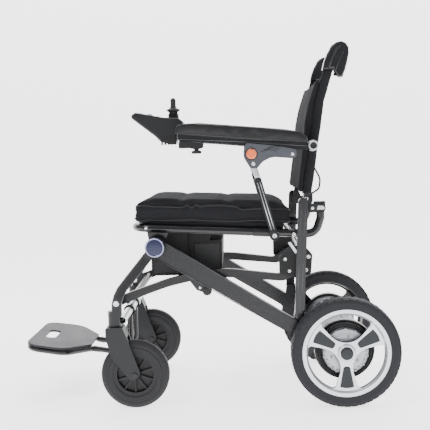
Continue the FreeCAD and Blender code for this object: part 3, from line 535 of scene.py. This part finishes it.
def leg_ribs(name, side):
    """Fine ribs across the outer face of the front leg."""
    plates = []
    for start, end in zip(LEG_LINE, LEG_LINE[1:]):
        a, b = Vector(start), Vector(end)
        length = (b - a).length
        run = (b - a) / length
        rise = Vector((-run.y, run.x)) * RIB_REACH
        half = run * RIB_HALF
        steps = int(length / RIB_SPACING)
        for step in range(steps):
            point = a + run * (length * (step + 0.5) / steps)
            strip = (point - rise - half, point + rise - half, point + rise + half, point - rise + half)
            plates.append(([tuple(corner) for corner in strip], 245.8, 246.7))
    plate_piece("leg_ribs_" + name, "matte_black", "front_frame", plates, side)


for name, side in SIDES:
    pivot_cap(name, side)
    bolts(name, side)
    frame_trim(name, side)
    box_and_latch(name, side)
    leg_ribs(name, side)

# ------------------------------------------------------------------ cushion, back and pads

CLOTH_STEPS = 20
LOOP_STRIDE = 12


def apply_all(obj):
    """Bake an object's modifiers into its mesh."""
    graph = bpy.context.evaluated_depsgraph_get()
    baked = bpy.data.meshes.new_from_object(obj.evaluated_get(graph))
    obj.modifiers.clear()
    obj.data = baked


def cloth_pad(source, name, voxel, pressure, cap, body, look):
    """Copy a plain soft solid, inflate it as cloth and keep it within a cap of its old surface."""
    data = source.data.copy()
    obj = bpy.data.objects.new(name, data)
    bpy.context.scene.collection.objects.link(obj)
    obj.data.materials.clear()
    obj.data.materials.append(LOOKS[look])
    bpy.context.view_layer.objects.active = obj
    remesh = obj.modifiers.new("even", "REMESH")
    remesh.mode = "VOXEL"
    remesh.voxel_size = voxel
    apply_all(obj)
    rest = [v.co.copy() for v in obj.data.vertices]
    cloth = obj.modifiers.new("fill", "CLOTH")
    cloth.settings.use_pressure = True
    cloth.settings.uniform_pressure_force = pressure
    cloth.settings.effector_weights.gravity = 0
    cloth.settings.tension_stiffness = 25
    cloth.settings.bending_stiffness = 2
    cloth.point_cache.frame_start = 1
    cloth.point_cache.frame_end = CLOTH_STEPS
    for step in range(1, CLOTH_STEPS + 1):
        bpy.context.scene.frame_set(step)
    apply_all(obj)
    bpy.context.scene.frame_set(1)
    for vertex, old in zip(obj.data.vertices, rest):
        move = vertex.co - old
        if move.length > cap:
            vertex.co = old + move * (cap / move.length)
    for face in obj.data.polygons:
        face.use_smooth = True
    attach(obj, body)
    return obj


def joined(name, *sources):
    """One mesh from several plain solids."""
    bm = bmesh.new()
    for source in sources:
        bm.from_mesh(source.data)
    data = bpy.data.meshes.new(name)
    bm.to_mesh(data)
    bm.free()
    return data


def smooth_step(value, low, high):
    """0 below low, 1 above high, with a smooth slope between."""
    share = min(1.0, max(0.0, (value - low) / (high - low)))
    return share * share * (3 - 2 * share)


def surface_line(obj, points, lift=0.0):
    """World points in mm moved onto a piece's surface and lifted off it by metres."""
    moved = []
    for point in points:
        place, normal = obj.closest_point_on_mesh(Vector(point) * MM)[1:3]
        moved.append((place + normal * lift) / MM)
    return moved


def rounded_loop(half, front, rear, radius, steps=8):
    """Closed outline (x, y) of a rounded rectangle, with extra points along its straights."""
    centres = ((half - radius, rear - radius, 0), (-half + radius, rear - radius, 90),
               (-half + radius, front + radius, 180), (half - radius, front + radius, 270))
    loop = []
    for x, y, start in centres:
        for step in range(steps + 1):
            angle = math.radians(start + 90 * step / steps)
            loop.append((x + radius * math.cos(angle), y + radius * math.sin(angle)))
    dense = []
    for a, b in zip(loop, loop[1:] + loop[:1]):
        count = max(1, int(math.dist(a, b) / LOOP_STRIDE))
        for step in range(count):
            dense.append((a[0] + (b[0] - a[0]) * step / count, a[1] + (b[1] - a[1]) * step / count))
    return dense + dense[:1]


SEAT_FRONT, SEAT_REAR, SEAT_HALF = -186, 237, 213
SEAM_FRONT, SEAM_REAR = 543, 522                    # height of the upper seam at both ends
BASE_FRONT, BASE_SLOPE = 495, 0.02955               # underside of the cushion on its sloping board
CROWN_KEPT = 0.8
CHANNELS, CHANNEL_DEPTH, CHANNEL_WIDTH, CHANNEL_WAVE = (-58, 66), 3.6, 13, 3
SEAM_PULL, SEAM_WIDTH, SEAM_BAND, SEAM_REACH = 1.8, 3.5, 14, 9
WRINKLE_END = 60                                    # wrinkles fade out this far behind the front


def seam_height(y):
    """Height of the cushion's upper seam in mm."""
    return SEAM_FRONT + (SEAM_REAR - SEAM_FRONT) * (y - SEAT_FRONT) / (SEAT_REAR - SEAT_FRONT)


def base_height(y):
    """Height of the cushion's underside in mm."""
    return BASE_FRONT - BASE_SLOPE * (y - SEAT_FRONT)


def shape_seat(obj):
    """Crown, cross channels, drawn-in seam and front wrinkles of the seat cushion, after it is inflated."""
    for vertex in obj.data.vertices:
        x, y, z = (c / MM for c in vertex.co)
        bottom = base_height(y)
        if z < bottom + 7:
            vertex.co.z = max(vertex.co.z, (bottom + 0.2) * MM)
            continue
        edge = min(SEAT_HALF - abs(x), y - SEAT_FRONT, SEAT_REAR - y)
        seam = seam_height(y)
        if z > seam:
            vertex.co.z = (seam + (z - seam) * CROWN_KEPT) * MM
        above = smooth_step(z, seam - 4, seam + 10) * smooth_step(edge, 2, 30)
        for channel in CHANNELS:
            gap = abs(y - channel + CHANNEL_WAVE * math.sin(x / 40))
            vertex.co.z -= above * CHANNEL_DEPTH * MM * math.exp(-(gap / CHANNEL_WIDTH) ** 2)
        seam_gap = abs(z - seam)
        if edge < SEAM_BAND and seam_gap < SEAM_REACH:
            pull = SEAM_PULL * math.exp(-(seam_gap / SEAM_WIDTH) ** 2)
            vertex.co.x -= math.copysign(pull, x) * MM * (abs(x) > SEAT_HALF - SEAM_BAND)
            if y < SEAT_FRONT + SEAM_BAND:
                vertex.co.y += pull * MM
        if y < SEAT_FRONT + WRINKLE_END and z < seam - 3:
            wrinkle = math.sin(z * 0.85 + 2.2 * math.sin(x / 33) + y / 17)
            wrinkle *= 1 - smooth_step(y, SEAT_FRONT + 12, SEAT_FRONT + WRINKLE_END)
            vertex.co.y += 1.3 * wrinkle * MM * (y < SEAT_FRONT + 20)
            vertex.co.x += 1.5 * wrinkle * MM * math.copysign(1, x) * (abs(x) > SEAT_HALF - 10)


seat_mesh = joined("seat_source", NODES["cushion_base"], NODES["cushion_top"])
seat_source = bpy.data.objects.new("seat_source", seat_mesh)
seat = cloth_pad(seat_source, "seat_cushion", 0.005, 4, 0.009, "seat", "fabric")
shape_seat(seat)
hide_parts("cushion_top", "cushion_base")
bpy.context.view_layer.update()
bm = bmesh.new()
for height in (seam_height, lambda y: base_height(y) + 5.5):
    loop = rounded_loop(SEAT_HALF + 3, SEAT_FRONT - 3, SEAT_REAR + 3, 16)
    add_tube(bm, surface_line(seat, [(x, y, height(y)) for x, y in loop], 0.0006), 2.1, 8)
piping = from_bmesh("seat_piping", bm, "piping", "seat")
for soft in (seat, piping):
    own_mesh(soft)

back = cloth_pad(NODES["back_pad"], "back_cushion", 0.0035, 4, 0.004, "backrest", "fabric")
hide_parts("back_pad")

BACK_LINE = ((278.4, 562), (315.5, 803), (342.3, 894))
SLEEVE_LOW, SLEEVE_HIGH, SLEEVE_RADIUS, SLEEVE_X = 563, 886, 13.0, 202
SLEEVE_ROWS, SLEEVE_STEPS = 64, 28
PANEL_LOW, PANEL_HIGH, PANEL_HALF = 566, 880, 198
PANEL_ROWS, PANEL_COLUMNS, PANEL_THICK = 48, 40, 3
PANEL_BEHIND, PANEL_SLACK = 6, 5.5                  # how far the panel stands and bellies behind the tubes


def back_line(z):
    """Distance along the chair of the back tube's axis at a height, in mm."""
    for (y0, z0), (y1, z1) in zip(BACK_LINE, BACK_LINE[1:]):
        if z <= z1:
            break
    return y0 + (y1 - y0) * (z - z0) / (z1 - z0)


def back_sleeves():
    """Fabric sleeves round both back tubes, slightly uneven along their length."""
    bm = bmesh.new()
    for name, side in SIDES:
        previous = None
        for row in range(SLEEVE_ROWS + 1):
            z = SLEEVE_LOW + (SLEEVE_HIGH - SLEEVE_LOW) * row / SLEEVE_ROWS
            radius = SLEEVE_RADIUS + 0.4 * (0.7 * math.sin(z / 19) + 0.5 * math.sin(z / 7.3 + side))
            centre = Vector((side * SLEEVE_X, back_line(z), z))
            loop = []
            for step in range(SLEEVE_STEPS):
                angle = 2 * math.pi * step / SLEEVE_STEPS
                out = Vector((math.cos(angle), math.sin(angle), 0))
                loop.append(bm.verts.new((centre + out * radius) * MM))
            if previous:
                for step in range(SLEEVE_STEPS):
                    after = (step + 1) % SLEEVE_STEPS
                    bm.faces.new((previous[step], previous[after], loop[after], loop[step]))
            else:
                bm.faces.new(loop)
            previous = loop
        bm.faces.new(previous)
    return from_bmesh("back_sleeves", bm, "fabric", "backrest")


def back_panel():
    """Stretched cloth between the sleeves, bellied backwards, with closed edges."""
    bm = bmesh.new()
    grid = []
    for row in range(PANEL_ROWS + 1):
        z = PANEL_LOW + (PANEL_HIGH - PANEL_LOW) * row / PANEL_ROWS
        up = math.sin((z - PANEL_LOW) / (PANEL_HIGH - PANEL_LOW) * math.pi)
        line = []
        for column in range(PANEL_COLUMNS + 1):
            x = -PANEL_HALF + 2 * PANEL_HALF * column / PANEL_COLUMNS
            slack = PANEL_SLACK * math.cos(x / PANEL_HALF * math.pi / 2) * up
            line.append((x, back_line(z) + PANEL_BEHIND + slack, z))
        grid.append(line)
    faces = []
    for lift in (0, PANEL_THICK):
        verts = [[bm.verts.new(Vector((x, y + lift, z)) * MM) for x, y, z in line] for line in grid]
        for a, b in zip(verts, verts[1:]):
            for k in range(PANEL_COLUMNS):
                bm.faces.new((a[k], a[k + 1], b[k + 1], b[k]))
        faces.append(verts)
    front, rear = faces
    for row in (0, -1):
        for k in range(PANEL_COLUMNS):
            bm.faces.new((front[row][k], front[row][k + 1], rear[row][k + 1], rear[row][k]))
    for k in range(PANEL_ROWS):
        for column in (0, PANEL_COLUMNS):
            bm.faces.new((front[k][column], front[k + 1][column], rear[k + 1][column], rear[k][column]))
    return from_bmesh("back_panel", bm, "fabric", "backrest")


sleeves = back_sleeves()
panel = back_panel()

ARM_FRONT, ARM_LENGTH, ARM_SEAM_X, ARM_SEAM_Z, ARM_SLOPE, ARM_STEPS = -62, 340, 271, 729, 0.0896, 30
for name, side in SIDES:
    pad = cloth_pad(NODES["arm_pad_" + name], "arm_pad_cover_" + name, 0.004, 3, 0.004, "armrest_" + name,
                    "leather")
    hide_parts("arm_pad_" + name)
    bpy.context.view_layer.update()
    seam = []
    for step in range(ARM_STEPS + 1):
        y = ARM_FRONT + ARM_LENGTH * step / ARM_STEPS
        seam.append((side * ARM_SEAM_X, y, ARM_SEAM_Z - ARM_SLOPE * (y + 60)))
    route = surface_line(pad, seam, 0.0003)
    tube_piece("arm_pad_seam_" + name, "gloss_black", "armrest_" + name, [route], 1.1)

# ------------------------------------------------------------------ push handles, struts, brackets

HANDLE_X, HANDLE_HALF = 202, 15
HOOD = [(324, 884), (329, 906), (337, 927), (348, 946), (361, 957), (375, 960), (387, 955), (394, 944),
        (395, 928), (390, 905), (385, 886), (378, 869), (369, 864), (361, 872), (352, 889)]
STRUT_FOOT, STRUT_TOP = Vector((0, 189, 456)), Vector((0, 137.4, 644.3))
CLAMP = (189, 456)
BUTTON = (133, 671)
ARM_PIVOT = (294, 689)
BRACKET_FACE, GROOVE_X = 260.1, 253.2


def push_handle(name, side):
    """Hood of the push handle with two raised ribs on its outer side."""
    grip = plate_piece("push_handle_hood_" + name, "gloss_black", "backrest",
                       [(HOOD, HANDLE_X - HANDLE_HALF, HANDLE_X + HANDLE_HALF)], side, 8)
    grip.modifiers["edges"].segments = 5
    bm = bmesh.new()
    for route, radius in ((((14.6, 341, 889), (15.2, 351, 918), (15.2, 363, 940), (14.6, 374, 947)), 2.6),
                          (((14.8, 359, 884), (15.2, 368, 908), (14.8, 380, 932)), 1.8)):
        add_tube(bm, [(side * (HANDLE_X + out), y, z) for out, y, z in route], radius, 10)
    from_bmesh("push_handle_ribs_" + name, bm, "satin_black", "backrest")


def arm_strut(name, side):
    """Silver slot lines as painted highlights, bright sleeve and clamp rings of the armrest's strut."""
    body = "arm_strut_" + name
    run = (STRUT_TOP - STRUT_FOOT).normalized()
    cross = Vector((0, -run.z, run.y))
    # painted highlights: silver lines along the strut's slots
    routes = []
    for shift in (-3.4, 3.6):
        routes.append([STRUT_FOOT + run * d + cross * shift + Vector((side * 252, 0, 0)) for d in (16, 146)])
    tube_piece("strut_slot_highlights_" + name, "silver", body, routes, 0.9)
    corners = []
    for along, shift in ((157, -7.4), (157, 7.4), (188, 7.4), (188, -7.4)):
        corner = STRUT_FOOT + run * along + cross * shift
        corners.append((corner.y, corner.z))
    plate_piece("strut_sleeve_" + name, "silver", body, [(corners, 241.2, 250.8)], side, 3.2)
    bm = bmesh.new()
    add_lathe(bm, CLAMP, [(252, 13.4), (255, 13), (255.6, 11.4), (254.4, 10.6), (252, 10.6)], side, 40, True)
    add_lathe(bm, CLAMP, [(252, 6), (254.6, 5.8), (255, 4.4), (254, 3.6), (252, 3.6)], side, 30, True)
    from_bmesh("strut_clamp_rings_" + name, bm, "satin_black", body)


def bracket_waves(name, side):
    """Three thin raised waves on the armrest's grey bracket."""
    routes = []
    for k in range(3):
        wave = []
        for step in range(9):
            share = step / 8
            y = 158 + 9 * k + share * (40 - 3 * k)
            z = 676 + 5 * k * 0.9 + 6.5 * math.sin(share * math.pi * 0.8) - 3 * share
            wave.append((side * BRACKET_FACE, y, z))
        routes.append(wave)
    tube_piece("bracket_waves_" + name, "satin_black", "armrest_" + name, routes, 0.9, 6)


def arm_rings(name, side):
    """Collar and ring of the release button, and the cap and core over the arm's pivot."""
    collar = [(259, 16), (261.4, 15.6), (261.4, 13.6), (259, 13.5)]
    lathe_piece("button_collar_" + name, "satin_black", "armrest_" + name,
                BUTTON, collar, side, 48, True)
    ring = [(264, 9.8), (265.2, 9.2), (265.2, 8.2), (264, 8)]
    lathe_piece("button_ring_" + name, "orange", "arm_release_" + name,
                BUTTON, ring, side, 40, True)
    cap = [(260, 13), (264, 12.2), (264.6, 10.2), (263.4, 8.8), (260, 8.8)]
    lathe_piece("arm_pivot_cap_" + name, "silver", "arm_pivot_" + name,
                ARM_PIVOT, cap, side, 36, True)
    core = [(261, 8.9), (262.9, 8.8), (263.3, 6), (262.4, 4.2), (263.4, AXIS)]
    lathe_piece("arm_pivot_core_" + name, "satin_black", "arm_pivot_" + name,
                ARM_PIVOT, core, side, 36)


def rail_groove(name, side):
    """Light line along the armrest's rail."""
    route = [(side * GROOVE_X, y, z) for y, z in ((-54, 714), (110, 703.5), (278, 688))]
    tube_piece("rail_groove_" + name, "grey", "armrest_" + name, [route], 1.2)


for name, side in SIDES:
    push_handle(name, side)
    arm_strut(name, side)
    bracket_waves(name, side)
    arm_rings(name, side)
    rail_groove(name, side)

# ------------------------------------------------------------------ controller

STICK_X, STICK_Y, BOOT_FOOT = 184, -72, 773
FOLDS, FOLD_STEPS, FOLD_RISE, FOLD_HALF = 5, 36, 4.2, 2.1
TOP_SLOPE, TOP_KNEE, TOP_HEIGHT = 0.2027, -97, 773    # the housing's top rises forward of the knee
LAMP_HALF_X, LAMP_HALF_Y = 3.4, 3
SQUARE = ((-1, -1), (1, -1), (1, 1), (-1, 1))


def joystick_boot():
    """Bellows of rubber folds round the stick's foot."""
    bm = bmesh.new()
    for k in range(FOLDS):
        z = BOOT_FOOT + FOLD_RISE * k
        radius = 16.5 - 1.3 * k
        rings = []
        for dz, dr in ((-FOLD_HALF, -3.2), (0, 0), (FOLD_HALF, -3.2)):
            loop = []
            for step in range(FOLD_STEPS):
                angle = 2 * math.pi * step / FOLD_STEPS
                loop.append(bm.verts.new(Vector((STICK_X + (radius + dr) * math.cos(angle),
                                                 STICK_Y + (radius + dr) * math.sin(angle), z + dz)) * MM))
            rings.append(loop)
        for a, b in zip(rings, rings[1:]):
            for step in range(FOLD_STEPS):
                after = (step + 1) % FOLD_STEPS
                bm.faces.new((a[step], a[after], b[after], b[step]))
    from_bmesh("joystick_boot", bm, "rubber", "stick")


def controller_ribs():
    """Ribs low on the outer side of the controller."""
    plates = []
    for step in range(5):
        y = -104 + 8.6 * step
        plates.append(([(y, 700), (y + 4.6, 700), (y + 4.6, 722), (y, 722)], 217, 220.4))
    plate_piece("controller_ribs", "matte_black", "armrest_left", plates)


def controller_lamps():
    """Two rows of plain lamps on the housing's top."""
    bm = bmesh.new()
    for x in (158, 169, 180, 191, 202):
        for y in (-158, -113):
            z = TOP_HEIGHT + (TOP_KNEE - y) * TOP_SLOPE + 0.2
            cap = [(x + sx * LAMP_HALF_X, y + sy * LAMP_HALF_Y) for sx, sy in SQUARE]
            low = [bm.verts.new(Vector((cx, cy, z - 0.5 - (cy - y) * TOP_SLOPE)) * MM) for cx, cy in cap]
            high = [bm.verts.new(Vector((cx, cy, z + 1.0 - (cy - y) * TOP_SLOPE)) * MM) for cx, cy in cap]
            bm.faces.new(high)
            for k in range(4):
                bm.faces.new((low[k], low[(k + 1) % 4], high[(k + 1) % 4], high[k]))
    from_bmesh("controller_lamps", bm, "light", "armrest_left", False)


def hand_screw_wings():
    """Two wings of the clamp's hand screw."""
    plates = []
    for sign in (1, -1):
        wing = [(-10 + sign * dy, 687 + dz) for dy, dz in ((0, 0), (15, 2), (17, 7), (14, 10), (0, 6))]
        plates.append((wing, 239.5, 244.5))
    plate_piece("hand_screw_wings", "rubber", "hand_screw", plates)


joystick_boot()
controller_ribs()
controller_lamps()
hand_screw_wings()

# ------------------------------------------------------------------ stage, light and camera

SWEEP_START, SWEEP_RADIUS, SWEEP_TOP, SWEEP_HALF, SWEEP_STEPS = -1.6, 1.6, 7.0, 9.0, 24
FLOOR_GLOW, WORLD_GLOW = 2.2, 0.72
CAMERA_YAW, CAMERA_PITCH, CAMERA_ROLL = -1.6081, 4.1709, -1.5      # degrees, as in the photo
CAMERA_PLACE = (2.57012, 0.09932, 0.68303)
CAMERA_LENS, CAMERA_SENSOR = 74.32, 36

profile = [(SWEEP_HALF, 0.0), (SWEEP_START, 0.0)]
for step in range(1, SWEEP_STEPS + 1):
    angle = math.pi / 2 * step / SWEEP_STEPS
    profile.append((SWEEP_START - SWEEP_RADIUS * math.sin(angle), SWEEP_RADIUS * (1 - math.cos(angle))))
profile.append((SWEEP_START - SWEEP_RADIUS, SWEEP_TOP))
sweep_points = []
for x, z in profile:
    sweep_points += [(x, -SWEEP_HALF, z), (x, SWEEP_HALF, z)]
sweep_faces = [(2 * k, 2 * k + 1, 2 * k + 3, 2 * k + 2) for k in range(len(profile) - 1)]
floor_data = bpy.data.meshes.new("floor")
floor_data.from_pydata(sweep_points, [], sweep_faces)
for face in floor_data.polygons:
    face.use_smooth = True
floor = bpy.data.objects.new("floor", floor_data)
bpy.context.scene.collection.objects.link(floor)
floor_look = bpy.data.materials.new("floor_pale")
floor_look.use_nodes = True
floor_shader = floor_look.node_tree.nodes["Principled BSDF"]
floor_shader.inputs["Base Color"].default_value = (0.80, 0.80, 0.80, 1)
floor_shader.inputs["Roughness"].default_value = 1.0
floor_shader.inputs["Specular IOR Level"].default_value = 0.0
floor_shader.inputs["Emission Color"].default_value = (1, 1, 1, 1)
floor_shader.inputs["Emission Strength"].default_value = FLOOR_GLOW
floor.data.materials.append(floor_look)

world = bpy.data.worlds.new("studio")
bpy.context.scene.world = world
world.use_nodes = True
world.node_tree.nodes["Background"].inputs["Color"].default_value = (0.93, 0.95, 1.0, 1)
world.node_tree.nodes["Background"].inputs["Strength"].default_value = WORLD_GLOW


def area_light(name, place, target, size, power):
    """A soft square light aimed at a point."""
    data = bpy.data.lights.new(name, "AREA")
    data.size = size
    data.energy = power
    light = bpy.data.objects.new(name, data)
    bpy.context.scene.collection.objects.link(light)
    light.location = place
    light.rotation_euler = (Vector(target) - Vector(place)).to_track_quat("-Z", "Y").to_euler()


area_light("key", (1.4, -1.6, 3.2), (0, 0, 0.4), 1.2, 45)
area_light("rim_light", (0.4, 2.6, 2.6), (0, 0, 0.5), 1.0, 30)
area_light("top", (-0.2, 0, 3.6), (0, 0, 0.4), 1.6, 40)

yaw, pitch, roll = (math.radians(a) for a in (CAMERA_YAW, CAMERA_PITCH, CAMERA_ROLL))
to_chair = Matrix(((0, 1, 0), (0, 0, -1), (-1, 0, 0)))
turn_y = Matrix(((math.cos(yaw), 0, -math.sin(yaw)), (0, 1, 0), (math.sin(yaw), 0, math.cos(yaw))))
turn_x = Matrix(((1, 0, 0), (0, math.cos(pitch), -math.sin(pitch)), (0, math.sin(pitch), math.cos(pitch))))
turn_z = Matrix(((math.cos(roll), -math.sin(roll), 0), (math.sin(roll), math.cos(roll), 0), (0, 0, 1)))
axes = turn_z @ turn_x @ turn_y @ to_chair
right, down, ahead = axes[0], axes[1], axes[2]
camera_data = bpy.data.cameras.new("camera")
camera_data.lens = CAMERA_LENS
camera_data.sensor_width = CAMERA_SENSOR
camera = bpy.data.objects.new("camera", camera_data)
bpy.context.scene.collection.objects.link(camera)
pose = Matrix((right, -down, -ahead)).transposed().to_4x4()
pose.translation = Vector(CAMERA_PLACE)
camera.matrix_world = pose
bpy.context.scene.camera = camera
